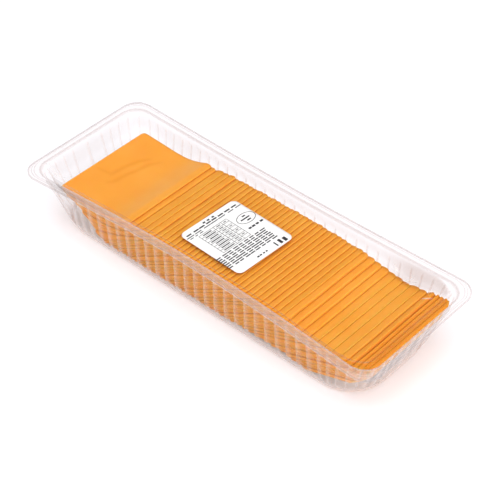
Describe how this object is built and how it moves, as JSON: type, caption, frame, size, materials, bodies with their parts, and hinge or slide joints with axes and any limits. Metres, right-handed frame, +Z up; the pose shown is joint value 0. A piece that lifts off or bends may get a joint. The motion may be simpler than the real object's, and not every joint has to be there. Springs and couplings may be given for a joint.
{
  "type": "pack of sliced cheese",
  "caption": "Long clear food tray with fluted walls and a sealing flange, full of shingled cheese slices under a drawn-down clear film with a blank printed label.",
  "frame": {"origin": "on the floor the pack rests on, under the middle of the pack", "axes": "+X along the pack, towards the end where the slices lean up the wall; +Y across the pack; +Z up"},
  "size_m": [0.345, 0.128, 0.05],
  "materials": {
    "tray": "clear, glossy",
    "cheese": "satin, slightly oily",
    "film": "clear, glossy, creased",
    "label": "smooth coated paper with black print"
  },
  "bodies": {
    "root": {"tray": "tray", "slice_01": "cheese", "slice_02": "cheese", "slice_03": "cheese", "slice_04": "cheese", "slice_05": "cheese", "slice_06": "cheese", "slice_07": "cheese", "slice_08": "cheese", "slice_09": "cheese", "slice_10": "cheese", "slice_11": "cheese", "slice_12": "cheese", "slice_13": "cheese", "slice_14": "cheese", "slice_15": "cheese", "slice_16": "cheese", "slice_17": "cheese", "slice_18": "cheese", "slice_19": "cheese", "slice_20": "cheese", "slice_21": "cheese", "slice_22": "cheese", "slice_23": "cheese", "slice_24": "cheese", "slice_25": "cheese", "slice_26": "cheese", "slice_27": "cheese", "slice_28": "cheese", "slice_29": "cheese", "slice_30": "cheese", "slice_31": "cheese", "slice_32": "cheese", "slice_33": "cheese", "slice_34": "cheese", "slice_35": "cheese", "slice_36": "cheese", "slice_37": "cheese", "slice_38": "cheese", "slice_39": "cheese", "slice_40": "cheese", "slice_41": "cheese", "slice_42": "cheese", "slice_43": "cheese", "slice_44": "cheese", "slice_45": "cheese", "slice_46": "cheese", "film": "film", "label": "label"}
  },
  "joints": []
}
